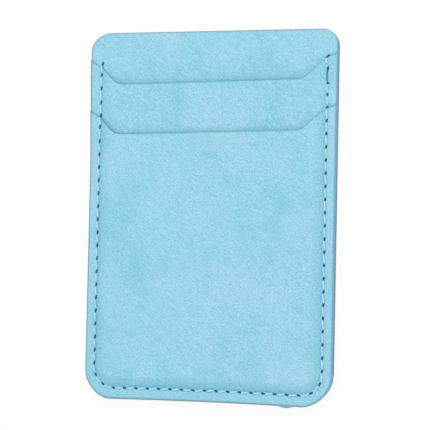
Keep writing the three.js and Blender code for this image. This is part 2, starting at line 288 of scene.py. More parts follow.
def slit_shapes():
    """Place, axis, half length and strength of painted shade and depth of every slit, with a seeded
    unevenness.
    """
    rng = np.random.default_rng(7)
    places = np.stack(beside_seam(SLITS, SEAM_INSET), -1)
    slants = SLIT_SLANT + np.radians(rng.normal(0, 4, len(SLITS)))
    halves = SLIT_HALF_LENGTH * (1 + rng.normal(0, 0.07, len(SLITS)))
    places[-1] += LAST_SLIT_SHIFT
    slants[-1] = LAST_SLIT_SLANT
    halves[-1] = LAST_SLIT_HALF_LENGTH
    halves[SUNK_STITCH] = SLIT_HALF_WIDTH
    depth_and_shade = np.where(SLITS > RIGHT_START, 1, rng.uniform(0.78, 1, len(SLITS)))
    depth_and_shade[0] = 1
    ways = way_along(SLITS)
    turned_ways = np.stack([
        ways[:, 0] * np.cos(slants) - ways[:, 1] * np.sin(slants),
        ways[:, 0] * np.sin(slants) + ways[:, 1] * np.cos(slants),
    ], -1)
    return places, turned_ways, halves, depth_and_shade


SLIT_PLACES, SLIT_AXES, SLIT_HALVES, SLIT_DEPTH_AND_SHADE = slit_shapes()


def inset_round(x, y, corner):
    """Distance in from the pattern's left, bottom and right edges, with bottom corners of a size."""
    straight_y = y + HALF_HEIGHT
    straight_x = HALF_WIDTH - np.abs(x)
    corner_x = np.maximum(corner - straight_x, 0)
    corner_y = np.maximum(corner - straight_y, 0)
    rounded = corner - np.hypot(corner_x, corner_y)
    in_corner = (corner_x > 0) & (corner_y > 0)
    return np.where(in_corner, rounded, np.minimum(straight_x, straight_y))


def inset_at(x, y):
    """Inset of a point: from the seam's corners inside the seam, and over to the outline's outside."""
    x, y = as_pattern(x, y)
    inner = inset_round(x, y, CORNER_SIZE)
    outer = inset_round(x, y, np.where(x < 0, BOTTOM_LEFT_CORNER, BOTTOM_RIGHT_CORNER))
    return outer + (inner - outer) * np.clip(inner / SEAM_INSET, 0, 1)


def slit_mask(x, y, slits):
    """Painted shade in the slits, which also sets their depth, and 0 outside: a smooth step across
    ellipses slanted off the seam.

    Returns the mask and the nearest ellipse's distance, which is 1 on its rim.
    """
    nearest = np.full(x.shape, 1e9)
    mask = np.zeros(x.shape)
    for slit in slits:
        off_x, off_y = x - SLIT_PLACES[slit, 0], y - SLIT_PLACES[slit, 1]
        axis_x, axis_y = SLIT_AXES[slit]
        along = off_x * axis_x + off_y * axis_y
        across = off_y * axis_x - off_x * axis_y
        distance = np.hypot(along / SLIT_HALVES[slit], across / SLIT_HALF_WIDTH)
        nearest = np.minimum(nearest, distance)
        mask = np.maximum(mask, SLIT_DEPTH_AND_SHADE[slit] * (1 - smoothstep(*SLIT_FADE, distance)))
    return mask, nearest


def groove_mask(x, y):
    """1 along the sunk stitch: a bell across the line between its slits, and one across its hook."""
    start, end = SLIT_PLACES[SUNK_STITCH], SLIT_PLACES[SUNK_STITCH + 1]
    length = np.linalg.norm(end - start)
    way = (end - start) / length
    t = ((x - start[0]) * way[0] + (y - start[1]) * way[1]) / length
    outward = (x - start[0]) * way[1] - (y - start[1]) * way[0]
    sway = GROOVE_SWAY * np.sin(math.pi * np.clip(t, 0, 1))
    inside = smoothstep(-0.08, 0.0, t) * (1 - smoothstep(0.95, 1.05, t))
    stem = inside * np.exp(-((outward + sway) / GROOVE_WIDTH) ** 2)
    hook = np.exp(-((outward - HOOK_OFFSET) / HOOK_HALF_WIDTH) ** 4 - (t * length / HOOK_HEIGHT) ** 2)
    return np.maximum(stem, hook)


def waves(x, y, seed):
    """Slow unevenness of hand-laid leather: a sum of four sine waves in different directions."""
    rng = np.random.default_rng(seed)
    total = np.zeros_like(x)
    for length in (31.0, 19.0, 13.0, 8.5):
        angle = rng.uniform(0, math.pi)
        phase = rng.uniform(0, 2 * math.pi)
        swing = (x * math.cos(angle) + y * math.sin(angle)) * 2 * math.pi / length
        total += length / 31.0 * np.sin(swing + phase)
    return total / 2.3


def seam_relief(x, y, slits, grooved):
    """How far the leather is pulled down at the seam, where it is pierced and where it is grooved.

    A shallow trough follows the sewing line, each slit puckers its rim and drops inside it, and the
    leather swells a little on both sides of the trough.
    """
    inset = inset_at(x, y)
    mask, distance = slit_mask(x, y, slits)
    off = inset - SEAM_INSET
    sewn = distance < SEWN_REACH
    trough = TROUGH_DEPTH * np.exp(-(off / TROUGH_WIDTH) ** 2) * sewn
    pucker = PUCKER_DEPTH * np.exp(-(distance / PUCKER_REACH) ** 2)
    swell = SWELL_HEIGHT * np.exp(-((np.abs(off) - SWELL_OFF_SEAM) / TROUGH_WIDTH) ** 2) * sewn
    drop = SLIT_DEPTH * mask
    groove = groove_mask(x, y) if grooved else np.zeros(x.shape)
    drop = np.maximum(drop, GROOVE_DEPTH * groove)
    return swell - trough - pucker - drop, mask, smoothstep(0.25, 0.8, groove)


# Pale patches as places, sizes and strengths: the first two are painted highlight on the side margins
# outside the seam, the rest are where the buffing wore the colour
PALE_PATCHES_AND_MARGIN_LIGHT = (
    ((31.6, -5), (1.5, 44), 0.6),
    ((-31.6, -8), (1.5, 38), 0.5),
    ((3, 25), (10, 6), 0.8),
    ((-5, 5), (9, 9), 0.6),
    ((7, -20), (10, 9), 0.9),
    ((-9, -31), (10, 8), 0.7),
    ((21, -36), (9, 9), 0.35),
)


def worn_and_margin_light(x, y):
    """How pale the colour is: a sum of soft bells at the worn patches and at the painted margin
    highlights.
    """
    total = np.zeros(x.shape)
    for (at_x, at_y), (wide, high), strength in PALE_PATCHES_AND_MARGIN_LIGHT:
        total += strength * np.exp(-((x - at_x) / wide) ** 2 - ((y - at_y) / high) ** 2)
    return np.clip(total, 0, 1)


def seam_shade(x, inset, on_ramp):
    """How much painted shade deepens the leather on the ramp just inside the seam, less so at both sides.
    """
    band = smoothstep(SEAM_INSET - 0.3, SEAM_INSET + 0.3, inset)
    band = band * (1 - smoothstep(SEAM_INSET + 0.7, SEAM_INSET + 3.2, inset))
    return band * on_ramp * (1 - 0.7 * smoothstep(15, HALF_WIDTH - 4, np.abs(x)))


def mesh_piece(name, points, quads, masks, material):
    """A closed mesh from arrays in millimetres; coincident points are merged and masks kept."""
    mesh = bpy.data.meshes.new(name)
    mesh.vertices.add(len(points))
    mesh.vertices.foreach_set("co", (points * MM).ravel())
    mesh.loops.add(quads.size)
    mesh.loops.foreach_set("vertex_index", quads.ravel())
    mesh.polygons.add(len(quads))
    mesh.polygons.foreach_set("loop_start", np.arange(0, quads.size, 4))
    mesh.update(calc_edges=True)
    for mask, values in masks.items():
        layer = mesh.attributes.new(mask, "FLOAT", "POINT")
        layer.data.foreach_set("value", values.astype(np.float32))
    shell = bmesh.new()
    shell.from_mesh(mesh)
    bmesh.ops.remove_doubles(shell, verts=shell.verts, dist=2e-6)
    bmesh.ops.recalc_face_normals(shell, faces=shell.faces)
    shell.to_mesh(mesh)
    shell.free()
    mesh.shade_smooth()
    mesh.materials.append(material)
    piece = bpy.data.objects.new(name, mesh)
    bpy.context.scene.collection.objects.link(piece)
    return piece


def ring_quads(rings, count):
    """Quads between closed rings of equal count, stacked in order."""
    first = np.arange(rings - 1)[:, None] * count
    here = np.arange(count)
    there = (here + 1) % count
    corners = [first + here, first + there, first + count + there, first + count + here]
    return np.stack(corners, -1).reshape(-1, 4)


def dense_stations(start, end, slits):
    """Stations for a grid: every half millimetre, and every tenth where a slit is."""
    even = np.arange(start, end, 0.5)
    near = (SLITS[slits][:, None] + np.linspace(-0.75, 0.75, 16)).ravel()
    stations = np.sort(np.concatenate([even, near, [end]]))
    keep = np.concatenate([[True], np.diff(stations) > 0.045])
    return stations[keep]


# Insets of the grid's rings: fine over the rounded edge, the seam and the ramp
SEAM_RINGS = SEAM_INSET + np.linspace(-0.42, 0.42, 12)
FLAT_RINGS = np.concatenate([
    [0.5, 0.9, 1.4, 1.8],
    SEAM_RINGS,
    RAMP_INSET + np.linspace(0.03, 1, 11) * RAMP_WIDTH,
    [RAMP_INSET + RAMP_WIDTH + 0.3],
])
ROUNDING = np.linspace(0, math.pi / 2, 5)
SHRINK = np.array([0.05, 0.13, 0.25, 0.4, 0.55, 0.7, 0.85, 1.0])
# Distance between rings at the mouth, as a share of that at the sides
RING_SHARE_AT_MOUTH = 0.2
# Rings of FLAT_RINGS that the plainer underside keeps
UNDER_RINGS = FLAT_RINGS[[1, 3, 15, 17, 19, 21, 23, 25, 27]]
# The thread and the panels' side ends reach this far past an ear's cut edge
EAR_REACH = 0.3


def rim_paint_and_shade(y, inset):
    """Edge paint with painted shade on the outer rim, a little wider along the bottom edge for a painted
    shadow line.
    """
    low = 1 - smoothstep(0.5, 1.5, y + HALF_HEIGHT)
    return 1 - smoothstep(0.12, 0.42, inset - 0.13 * low)


def pocket_panel(name, mouth, under, rise, slits, seed, grooved, bead, material):
    """Leather panel of a pocket, as a grid of closed rings from its underside's middle to its top's.

    Each ring runs down the left side, round the bottom, up the right side and back along the mouth.
    The sides lie inset from the outline and the mouth stretch below the mouth line. Height is the
    under face or the top face, plus the rise over the ramp inside the seam, plus the relief.
    """
    start = SEAM_TOP_LEFT - float(mouth_height(-HALF_WIDTH - LEFT_OVERCUT, mouth)) - EAR_REACH
    end = SEAM_LENGTH + float(mouth_height(HALF_WIDTH, mouth)) - SEAM_TOP_RIGHT + EAR_REACH
    stations = dense_stations(start, end, slits)
    mouth_x = np.arange(HALF_WIDTH, -HALF_WIDTH - 1, -0.4)
    at_sides = (stations < LEFT_LENGTH) | (stations > RIGHT_START)

    def loop(inset, back):
        flat_x, flat_y = pattern_point(stations, inset)
        top = mouth_height(as_cut(flat_x, flat_y)[0], mouth) - back
        x, y = as_cut(flat_x, np.where(at_sides, np.minimum(flat_y, top), flat_y))
        line_x = np.clip(mouth_x, x[0], x[-1])
        return np.concatenate([x, line_x]), np.concatenate([y, mouth_height(line_x, mouth) - back])

    edge_in = LIP_ROUND * (1 - np.cos(ROUNDING))
    edge_down = LIP_ROUND * (1 - np.sin(ROUNDING))
    flat_back = LIP_ROUND + (FLAT_RINGS - LIP_ROUND) * RING_SHARE_AT_MOUTH
    under_back = LIP_ROUND + (UNDER_RINGS - LIP_ROUND) * RING_SHARE_AT_MOUTH
    top = [(inset, inset, down, 1) for inset, down in zip(edge_in, edge_down)]
    top += [(inset, back, 0, 1) for inset, back in zip(FLAT_RINGS, flat_back)]
    below = [(inset, back, 0, 0) for inset, back in zip(UNDER_RINGS[::-1], under_back[::-1])]
    below += [(UNDER_ROUND, UNDER_ROUND, 0, 0), (0, 0, -UNDER_ROUND, 0)]
    x_rings, y_rings, down_rings, on_top = [], [], [], []
    centre = np.array([0, (mouth - HALF_HEIGHT) / 2])
    for inset, back, down, side in below + top:
        x, y = loop(inset, back)
        x_rings.append(x)
        y_rings.append(y)
        down_rings.append(np.full(x.shape, down))
        on_top.append(np.full(x.shape, side))
    for ring, side in ((-1, 1), (0, 0)):
        x, y = x_rings[ring], y_rings[ring]
        inner = [(x + (centre[0] - x) * t, y + (centre[1] - y) * t) for t in SHRINK]
        xs, ys = [p[0] for p in inner], [p[1] for p in inner]
        level, sides = [np.zeros(x.shape)] * len(inner), [np.full(x.shape, side)] * len(inner)
        if side:
            x_rings, y_rings = x_rings + xs, y_rings + ys
            down_rings, on_top = down_rings + level, on_top + sides
        else:
            x_rings, y_rings = xs[::-1] + x_rings, ys[::-1] + y_rings
            down_rings, on_top = level + down_rings, sides + on_top
    x, y = np.concatenate(x_rings), np.concatenate(y_rings)
    down, on_top = np.concatenate(down_rings), np.concatenate(on_top)

    inset = inset_at(x, y)
    ramp = np.sin(np.clip((inset - RAMP_INSET) / RAMP_WIDTH, 0, 1) * math.pi / 2)
    relief, slit, groove = seam_relief(x, y, slits, grooved)
    to_lip = mouth_height(x, mouth) - y
    relief = relief * smoothstep(0.0, 0.35, inset) * smoothstep(0.0, 0.3, to_lip)
    uneven = 0.035 * waves(x, y, seed) * ramp
    z = under + rise * ramp + uneven + on_top * (LEATHER + relief) - down
    painted = np.zeros(x.shape)
    if bead:
        swell = bead_swell(x, y)
        y = y - swell
        painted = smoothstep(0.1, 0.25, swell)
    masks = {
        "slit": slit * on_top,
        "groove": groove * on_top,
        "lip": lip_paint_and_shade(x, to_lip),
        "rim": rim_paint_and_shade(y, inset) * on_top,
        "bead": painted,
        "worn_and_margin_light": worn_and_margin_light(x, y),
        "shade": seam_shade(x, inset, smoothstep(0.5, 2.5, to_lip)),
    }
    points = np.stack([x, y, z], -1)
    quads = ring_quads(len(x_rings), len(x_rings[0]))
    return mesh_piece(name, points, quads, masks, material)


# A bead of dried edge paint on the front panel's bottom edge
BEAD_X = 21.2
BEAD_HALF_LENGTH = 1.5
BEAD_PROUD = 0.38


def bead_swell(x, y):
    """Outward push of the bottom edge into the bead: a bell along x, limited to the edge's face."""
    along = np.exp(-((x - BEAD_X) / BEAD_HALF_LENGTH) ** 4)
    edge_y = as_cut(x, np.full(x.shape, -HALF_HEIGHT))[1]
    near = 1 - smoothstep(0.1, 0.55, y - edge_y)
    return BEAD_PROUD * along * near


def lip_paint_and_shade(x, to_lip):
    """Edge paint on a mouth's lip, with painted shade of the lip's shadow line: thin and dark at the left,
    softer from there, dark on the right ear.
    """
    to_flat = smoothstep(-26, -22, x)
    to_right = smoothstep(20, 27, x)
    width = 0.3 + 0.22 * to_flat
    strength = 1 - 0.25 * to_flat - 0.25 * to_right + 0.3 * smoothstep(30.5, 31.5, x)
    return strength * (1 - smoothstep(0.35 * width, width, to_lip))


def back_loop(inset, ys_left, ys_right, xs):
    """The back panel's outline at an inset, counter-clockwise from the left side's top.

    Corners are arcs whose radius shrinks with the inset; the bottom edge bows in.
    """
    bottom_left = BOTTOM_LEFT_CORNER - inset
    bottom_right = BOTTOM_RIGHT_CORNER - inset
    top_left = max(TOP_LEFT_CORNER - inset, 0.25)
    top_right = max(TOP_RIGHT_CORNER - inset, 0.25)
    side = HALF_WIDTH - inset
    low, high = inset - HALF_HEIGHT, HALF_HEIGHT - inset
    quarter = np.linspace(0, math.pi / 2, 22)

    def corner(cx, cy, radius, first):
        angle = quarter + first
        return np.stack([cx + radius * np.cos(angle), cy + radius * np.sin(angle)], -1)

    left_y = np.clip(ys_left, low + bottom_left, high - top_left)
    right_y = np.clip(ys_right, low + bottom_right, high - top_right)
    left = np.stack([np.full(left_y.shape, -side), left_y], -1)
    right = np.stack([np.full(right_y.shape, side), right_y], -1)
    base = np.stack([np.clip(xs, bottom_left - side, side - bottom_right), np.full(xs.shape, low)], -1)
    head = np.stack([np.clip(xs[::-1], top_left - side, side - top_right), np.full(xs.shape, high)], -1)
    loop = np.concatenate([
        left,
        corner(bottom_left - side, low + bottom_left, bottom_left, math.pi),
        base,
        corner(side - bottom_right, low + bottom_right, bottom_right, 1.5 * math.pi),
        right,
        corner(side - top_right, high - top_right, top_right, 0),
        head,
        corner(top_left - side, high - top_left, top_left, 0.5 * math.pi),
    ])
    return np.stack(as_cut(loop[:, 0], loop[:, 1]), -1)


def back_panel(material):
    """Hemmed back panel: rings from the recess over the board, out round the rim and in over the top.

    Only the slits above the pockets' ears are pierced, because the pockets cover the rest.
    """
    slits = np.array([0, len(SLITS) - 1])
    near = np.linspace(-0.8, 0.8, 17)
    ys = np.arange(-HALF_HEIGHT, HALF_HEIGHT, 1.5)
    ys_left = np.sort(np.concatenate([ys, SLIT_PLACES[0, 1] + near]))[::-1]
    ys_right = np.sort(np.concatenate([ys, SLIT_PLACES[-1, 1] + near]))
    xs = np.arange(-HALF_WIDTH, HALF_WIDTH + 0.5, 1.5)
    recess = BOARD_INSET - BOARD_CLEARANCE
    rim_in = RIM_ROUND * (1 - np.cos(ROUNDING))
    rim_off = RIM_ROUND * (1 - np.sin(ROUNDING))
    profile = [(recess, BOARD_TOP, 0), (recess, BACK_UNDER, 0), (SEAM_INSET, BACK_UNDER, 0)]
    profile += [(inset, BACK_UNDER + off, 0) for inset, off in zip(rim_in[::-1], rim_off[::-1])]
    profile += [(inset, BACK_TOP - off, 1) for inset, off in zip(rim_in, rim_off)]
    profile += [(inset, BACK_TOP, 1) for inset in FLAT_RINGS]
    loops = [back_loop(inset, ys_left, ys_right, xs) for inset, _, _ in profile]
    heights = [np.full(len(loops[0]), z) for _, z, _ in profile]
    sides = [np.full(len(loops[0]), side) for _, _, side in profile]
    under = [loops[0] * (1 - t) for t in SHRINK[::-1]]
    over = [loops[-1] * (1 - t) for t in SHRINK]
    shrunk = len(SHRINK)
    points = np.concatenate(under + loops + over)
    z = np.concatenate([heights[0]] * shrunk + heights + [heights[-1]] * shrunk)
    on_top = np.concatenate([sides[0]] * shrunk + sides + [sides[-1]] * shrunk)
    x, y = points[:, 0], points[:, 1]
    relief, slit, _ = seam_relief(x, y, slits, grooved=False)
    flat_x, flat_y = as_pattern(x, y)
    from_top = HALF_HEIGHT - flat_y
    inset = np.minimum(inset_at(x, y), from_top)
    radius = np.where(flat_x < 0, TOP_LEFT_CORNER, TOP_RIGHT_CORNER)
    corner_x = np.maximum(radius - (HALF_WIDTH - np.abs(flat_x)), 0)
    corner_y = np.maximum(radius - from_top, 0)
    inset = np.where((corner_x > 0) & (corner_y > 0), radius - np.hypot(corner_x, corner_y), inset)
    uncovered = smoothstep(0, 0.3, y - mouth_height(x, UPPER_MOUTH) + 0.6)
    sheet = smoothstep(RIM_ROUND, 1.2, inset)
    z = z + on_top * (relief * uncovered + 0.02 * waves(x, y, 5) * sheet * uncovered)
    none = np.zeros(len(x))
    masks = {
        "slit": slit * on_top * uncovered,
        "groove": none,
        "lip": none,
        "rim": rim_paint_and_shade(y, inset),
        "bead": none,
        "worn_and_margin_light": worn_and_margin_light(x, y),
        "shade": none,
    }
    quads = ring_quads(len(loops) + 2 * shrunk, len(loops[0]))
    return mesh_piece("back_panel_leather", np.column_stack([x, y, z]), quads, masks, material)


# Length over which the thread climbs over an ear, and length of one turn of its plies
EAR_EASE = 0.45
TWIST_LENGTH = 1.5
# Shares of a stitch from its slit between which the thread dips, and how much longer at the left and below
DIP = (0.12, 0.24)
DIP_LONGER = 0.04
THREAD_HUMP = 0.05
THREAD_SWAY = 0.1
LOOP_SWAY = 0.35


def surface_height(station):
    """Top of the leather under the needle thread, eased over each ear just before its cut edge."""
    height = np.full(station.shape, BACK_TOP)
    for mouth in (UPPER_MOUTH, LOWER_MOUTH):
        left = SEAM_TOP_LEFT - float(mouth_height(-SEAM_X, mouth)) - EAR_REACH
        right = SEAM_LENGTH - SEAM_TOP_RIGHT + float(mouth_height(SEAM_X, mouth)) + EAR_REACH
        past_left = smoothstep(left - EAR_EASE, left, station)
        height += LEATHER * past_left * (1 - smoothstep(right, right + EAR_EASE, station))
    return height


def lining_height(station):
    """Underside of the lining, along which the bobbin thread runs."""
    return np.full(station.shape, LINING_UNDER)


def thread_piece(name, radius, surface, side, material):
    """Two-ply sewing thread swept along the lockstitch, as a grid of stations by turns.

    Between slits the middle line follows the surface at 0.6 of its radius, with a slight hump, and it
    dips into every slit, over a longer way at the left and along the bottom. It sways across the seam
    by one sine wave per stitch. The thread is thickest half way between slits, by a half sine wave, and
    two plies swell it by a cosine of twice the angle less the twist. Above, the sunk stitch lies in its
    groove, and of the last one a short loop shows.
    """
    steps = np.linspace(0, 1, 25)[:-1]
    starts, lengths = SLITS[:-1, None], np.diff(SLITS)[:, None]
    stations = np.append((starts + lengths * steps).ravel(), SLITS[-1])
    phase = np.append(np.tile(steps, len(SLITS) - 1), 1.0)
    stitch = np.append(np.repeat(np.arange(len(SLITS) - 1), len(steps)), len(SLITS) - 2)
    to_slit = np.minimum(phase, 1 - phase)
    longer = np.where(stations < RIGHT_START, DIP_LONGER, 0)
    dip = 1 - smoothstep(DIP[0] + longer, DIP[1] + longer, to_slit)
    if side > 0:
        loop = smoothstep(0.36, 0.46, phase) * (1 - smoothstep(0.7, 0.8, phase))
        dip = np.where(stitch == len(SLITS) - 2, 1 - loop, dip)
        dip = np.where(stitch == SUNK_STITCH, 1, dip)
    hump = THREAD_HUMP * np.sin(math.pi * phase)
    off = 0.6 * radius + hump - (0.55 + 0.6 * radius) * dip
    height = surface(stations) + side * off
    place = np.stack(beside_seam(stations, SEAM_INSET), -1)
    way = way_along(stations)
    inward = np.stack([-way[:, 1], way[:, 0]], -1)
    sway = side * THREAD_SWAY * np.sin(2 * math.pi * phase)
    if side > 0:
        sway = sway - LOOP_SWAY * loop * (stitch == len(SLITS) - 2)
    place = place - inward * sway[:, None]
    middle = np.column_stack([place, height])
    tangent = np.gradient(middle, axis=0)
    tangent /= np.linalg.norm(tangent, axis=1, keepdims=True)
    across = np.column_stack([inward, np.zeros(len(inward))])
    up = np.cross(tangent, across)
    up /= np.linalg.norm(up, axis=1, keepdims=True)
    across = np.cross(up, tangent)
    turns = np.linspace(0, 2 * math.pi, 13)[:-1]
    run = np.concatenate([[0], np.cumsum(np.linalg.norm(np.diff(middle, axis=0), axis=1))])
    twist = 2 * math.pi * run / TWIST_LENGTH
    plump = 0.78 + 0.32 * np.sin(math.pi * phase)
    swell = radius * plump[:, None] * (1 + 0.08 * np.cos(2 * (turns[None, :] - twist[:, None])))
    rings = middle[:, None, :] \
        + (swell * np.cos(turns))[..., None] * across[:, None, :] \
        + (swell * np.sin(turns))[..., None] * up[:, None, :]
    ends = np.stack([np.repeat(middle[:1], len(turns), 0), np.repeat(middle[-1:], len(turns), 0)])
    points = np.concatenate([ends[:1], rings, ends[1:]])
    ply = 0.5 + 0.5 * np.cos(2 * (turns[None, :] - twist[:, None]))
    ply = np.concatenate([ply[:1], ply, ply[-1:]])
    depth = np.repeat(np.concatenate([dip[:1], dip, dip[-1:]])[:, None], len(turns), 1)
    masks = {"ply": ply.ravel(), "depth": depth.ravel()}
    quads = ring_quads(len(points), len(turns))
    return mesh_piece(name, points.reshape(-1, 3), quads, masks, material)


# Colours, as linear light
def from_screen(red, green, blue):
    """Linear colour of a screen colour given in 0 to 255."""
    screen = np.array([red, green, blue]) / 255
    linear = np.where(screen <= 0.04045, screen / 12.92, ((screen + 0.055) / 1.055) ** 2.4)
    return (*linear.tolist(), 1.0)


LEATHER_BLUE = from_screen(156, 214, 232)
LEATHER_PALE = from_screen(178, 217, 238)
LEATHER_DEEP = from_screen(140, 207, 224)
SEAM_SHADE_TEAL = from_screen(112, 212, 234)
SLIT_SHADE_TEAL = from_screen(0, 92, 112)
SLIT_SHADE_DARK = from_screen(0, 60, 78)
GROOVE_SHADE_TEAL = from_screen(50, 142, 154)
LIP_TEAL = from_screen(48, 156, 184)
CREASE_TINT = (0.5, 0.68, 0.74, 1)
BEAD_BLUE = from_screen(84, 166, 200)
RIM_BLUE = from_screen(106, 172, 200)
RIM_GREY = from_screen(114, 142, 156)
THREAD_PALE = from_screen(184, 225, 239)
THREAD_SHADE = from_screen(156, 211, 229)
LINING_GREY = from_screen(122, 144, 166)
LINING_DARK = from_screen(100, 120, 142)
BOARD_BROWN = from_screen(186, 174, 154)
BOARD_DARK = from_screen(158, 144, 122)
PAD_WHITE = from_screen(232, 233, 229)
PAD_GREY = from_screen(216, 219, 217)
# How strongly clouds, wear with the painted margin highlight, the painted shade beside the seam and the
# grain's creases colour the leather
PALE_SHARE = 0.6
WORN_AND_LIGHT_SHARE = 0.45
SEAM_SHADE_SHARE = 0.35
CREASE_SHARE = 0.7


def new_group(name, inputs, outputs):
    """An empty shader node group with the given sockets, and its input and output nodes."""
    group = bpy.data.node_groups.new(name, "ShaderNodeTree")
    for socket, kind in inputs:
        group.interface.new_socket(socket, in_out="INPUT", socket_type=kind)
    for socket, kind in outputs:
        group.interface.new_socket(socket, in_out="OUTPUT", socket_type=kind)
    return group, group.nodes.new("NodeGroupInput"), group.nodes.new("NodeGroupOutput")


FLOAT = "NodeSocketFloat"


def math_node(tree, operation, *values):
    node = tree.nodes.new("ShaderNodeMath")
    node.operation = operation
    for socket, value in zip(node.inputs, values):
        if isinstance(value, (int, float)):
            socket.default_value = value
        else:
            tree.links.new(value, socket)
    return node.outputs[0]


def mix_colour(tree, factor, first, second, blend="MIX"):
    node = tree.nodes.new("ShaderNodeMix")
    node.data_type = "RGBA"
    node.blend_type = blend
    for socket, value in ((node.inputs[0], factor), (node.inputs[6], first), (node.inputs[7], second)):
        if isinstance(value, (int, float, tuple)):
            socket.default_value = value
        else:
            tree.links.new(value, socket)
    return node.outputs[2]


def noise(tree, vector, scale, detail=2.0, roughness=0.5, distortion=0.0):
    node = tree.nodes.new("ShaderNodeTexNoise")
    node.inputs["Scale"].default_value = scale
    node.inputs["Detail"].default_value = detail
    node.inputs["Roughness"].default_value = roughness
    node.inputs["Distortion"].default_value = distortion
    tree.links.new(vector, node.inputs["Vector"])
    return node.outputs["Fac"]


def spread(tree, value, low, high):
    """Maps low to 0 and high to 1, and clamps."""
    node = tree.nodes.new("ShaderNodeMapRange")
    node.inputs["From Min"].default_value = low
    node.inputs["From Max"].default_value = high
    tree.links.new(value, node.inputs["Value"])
    return node.outputs["Result"]


def turned(tree, vector, degrees, stretch):
    """Coordinates turned about Z and then divided by the stretch, for streaks along the turned Y."""
    node = tree.nodes.new("ShaderNodeMapping")
    node.vector_type = "TEXTURE"
    node.inputs["Rotation"].default_value = (0, 0, math.radians(degrees))
    node.inputs["Scale"].default_value = (1, stretch, 1)
    tree.links.new(vector, node.inputs["Vector"])
    return node.outputs["Vector"]


def weighted_sum(tree, *terms):
    """Sum of outputs, each times its weight."""
    total = 0.0
    for value, weight in terms:
        total = math_node(tree, "MULTIPLY_ADD", value, weight, total)
    return total


def clouds_group():
    """Mottle of buffed leather: soft clouds, faint streaks that run down to the right, and grain."""
    group, _, out = new_group("buffed_clouds", [], [("Pale", FLOAT), ("Deep", FLOAT), ("Grain", FLOAT)])
    place = group.nodes.new("ShaderNodeTexCoord").outputs["Object"]
    cloud = noise(group, place, 60, 4, 0.6, 0.5)
    streak = noise(group, turned(group, place, 42, 9), 900, 3, 0.6, 0.2)
    broad = noise(group, turned(group, place, 48, 4), 260, 3, 0.6, 0.3)
    pale = weighted_sum(group, (cloud, 0.5), (broad, 0.27), (streak, 0.23))
    deep = weighted_sum(group, (noise(group, place, 90, 3, 0.55, 0.6), 0.6), (streak, 0.4))
    brushed = noise(group, turned(group, place, 46, 10), 3400, 2, 0.5)
    fine, coarse = noise(group, place, 4600, 1, 0.5), noise(group, place, 2400, 1, 0.5)
    grain = weighted_sum(group, (fine, 0.6), (coarse, 0.2), (brushed, 0.2))
    group.links.new(spread(group, pale, 0.44, 0.66), out.inputs["Pale"])
    group.links.new(spread(group, deep, 0.44, 0.66), out.inputs["Deep"])
    group.links.new(spread(group, grain, 0.43, 0.57), out.inputs["Grain"])
    return group


def pores_group():
    """Relief of fine leather: tiny pebbles between creases, with scattered pores."""
    group, _, out = new_group("leather_pores", [("Scale", FLOAT)], [("Height", FLOAT)])
    source = group.nodes["Group Input"]
    place = group.nodes.new("ShaderNodeTexCoord").outputs["Object"]
    pebbles = group.nodes.new("ShaderNodeTexVoronoi")
    pebbles.feature = "SMOOTH_F1"
    pebbles.inputs["Randomness"].default_value = 1.0
    group.links.new(place, pebbles.inputs["Vector"])
    group.links.new(source.outputs["Scale"], pebbles.inputs["Scale"])
    pebble = math_node(group, "SUBTRACT", 1.0, pebbles.outputs["Distance"])
    crease = noise(group, place, 900, 3, 0.6, 0.8)
    fine = noise(group, place, 4200, 2, 0.5)
    height = weighted_sum(group, (pebble, 0.5), (crease, 0.35), (fine, 0.15))
    group.links.new(height, out.inputs["Height"])
    return group


def fibre_group():
    """Short fibres and specks, for the lining and the board."""
    group, _, out = new_group("fibre_specks", [("Scale", FLOAT)], [("Fac", FLOAT), ("Height", FLOAT)])
    source = group.nodes["Group Input"]
    place = group.nodes.new("ShaderNodeTexCoord").outputs["Object"]
    fibres = []
    for degrees in (20, 80, 140):
        strand = group.nodes.new("ShaderNodeTexNoise")
        strand.inputs["Detail"].default_value = 2.0
        group.links.new(turned(group, place, degrees, 7), strand.inputs["Vector"])
        group.links.new(source.outputs["Scale"], strand.inputs["Scale"])
        fibres.append(strand.outputs["Fac"])
    both = math_node(group, "MAXIMUM", fibres[0], fibres[1])
    height = math_node(group, "MAXIMUM", both, fibres[2])
    group.links.new(spread(group, height, 0.45, 0.75), out.inputs["Fac"])
    group.links.new(height, out.inputs["Height"])
    return group


CLOUDS = clouds_group()
PORES = pores_group()
FIBRES = fibre_group()


def new_material(name, roughness, specular=0.5):
    """A material with its Principled shader, and constants on the shader's own sockets."""
    material = bpy.data.materials.new(name)
    material.use_nodes = True
    shader = material.node_tree.nodes["Principled BSDF"]
    shader.inputs["Roughness"].default_value = roughness
    shader.inputs["Specular IOR Level"].default_value = specular
    return material, material.node_tree, shader


def place_group(tree, group, **values):
    node = tree.nodes.new("ShaderNodeGroup")
    node.node_tree = group
    for socket, value in values.items():
        node.inputs[socket].default_value = value
    return node


def attribute(tree, name):
    node = tree.nodes.new("ShaderNodeAttribute")
    node.attribute_name = name
    return node.outputs["Fac"]


def bump(tree, height, shader, strength, distance):
    """Bump of a height field; distance is in metres."""
    node = tree.nodes.new("ShaderNodeBump")
    node.inputs["Strength"].default_value = strength
    node.inputs["Distance"].default_value = distance
    tree.links.new(height, node.inputs["Height"])
    tree.links.new(node.outputs["Normal"], shader.inputs["Normal"])


